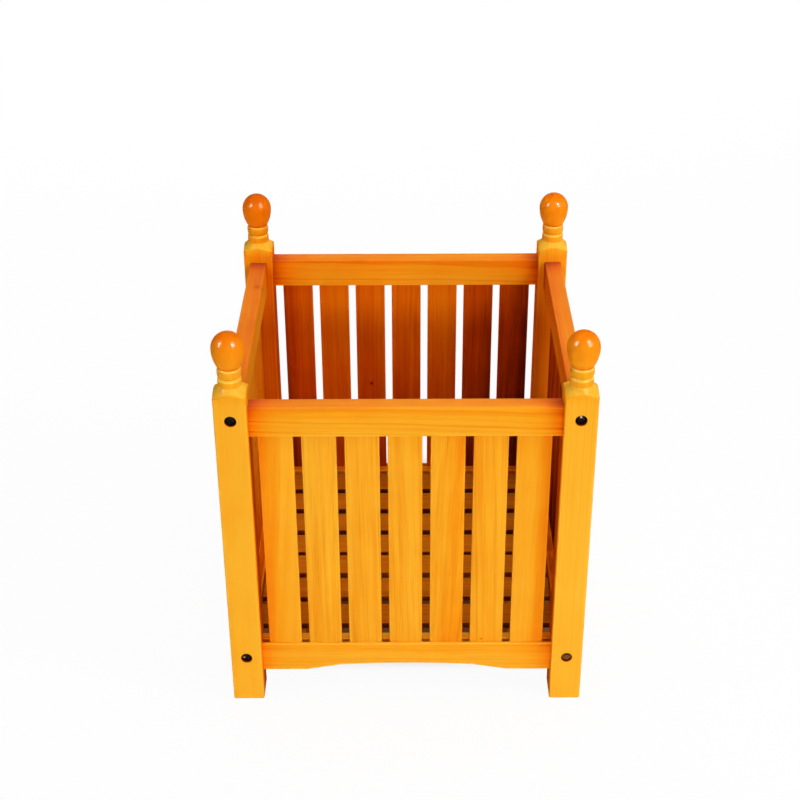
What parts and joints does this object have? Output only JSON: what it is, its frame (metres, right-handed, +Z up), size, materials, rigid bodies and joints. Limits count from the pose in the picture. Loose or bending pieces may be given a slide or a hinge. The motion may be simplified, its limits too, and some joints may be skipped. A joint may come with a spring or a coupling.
{
  "type": "wooden planter",
  "caption": "Square slatted wooden planter with turned corner posts and egg-shaped finials, grooved rails arched underneath, upright slats, a slatted floor and bolted corners.",
  "frame": {"origin": "on the ground, under the middle of the square footprint", "axes": "+Z up along the posts, the front panel faces -Y, +X to the right seen from the front"},
  "size_m": [0.5, 0.5, 0.587],
  "materials": {
    "stained_pine": "planed pine under a semi-gloss honey-orange stain",
    "floor_pine": "planed pine under a thinner coat of the same stain",
    "dowel_beech": "bare beech",
    "black_bolt": "black-coated steel, satin",
    "bright_steel": "zinc-plated steel"
  },
  "bodies": {
    "root": {"front_left_post": "stained_pine", "front_right_post": "stained_pine", "back_right_post": "stained_pine", "back_left_post": "stained_pine", "front_top_rail": "stained_pine", "right_top_rail": "stained_pine", "back_top_rail": "stained_pine", "left_top_rail": "stained_pine", "front_bottom_rail": "stained_pine", "right_bottom_rail": "stained_pine", "back_bottom_rail": "stained_pine", "left_bottom_rail": "stained_pine", "front_slat_1": "stained_pine", "front_slat_2": "stained_pine", "front_slat_3": "stained_pine", "front_slat_4": "stained_pine", "front_slat_5": "stained_pine", "front_slat_6": "stained_pine", "front_slat_7": "stained_pine", "right_slat_1": "stained_pine", "right_slat_2": "stained_pine", "right_slat_3": "stained_pine", "right_slat_4": "stained_pine", "right_slat_5": "stained_pine", "right_slat_6": "stained_pine", "right_slat_7": "stained_pine", "back_slat_1": "stained_pine", "back_slat_2": "stained_pine", "back_slat_3": "stained_pine", "back_slat_4": "stained_pine", "back_slat_5": "stained_pine", "back_slat_6": "stained_pine", "back_slat_7": "stained_pine", "left_slat_1": "stained_pine", "left_slat_2": "stained_pine", "left_slat_3": "stained_pine", "left_slat_4": "stained_pine", "left_slat_5": "stained_pine", "left_slat_6": "stained_pine", "left_slat_7": "stained_pine", "floor_board_1": "floor_pine", "floor_board_2": "floor_pine", "floor_board_3": "floor_pine", "floor_board_4": "floor_pine", "floor_board_5": "floor_pine", "floor_board_6": "floor_pine", "floor_board_7": "floor_pine", "left_bearer": "floor_pine", "right_bearer": "floor_pine", "bolts": "black_bolt", "threaded_inserts": "bright_steel", "floor_nails": "bright_steel", "rail_dowels": "dowel_beech", "locating_dowels": "dowel_beech", "bearer_dowels": "dowel_beech"}
  },
  "joints": []
}
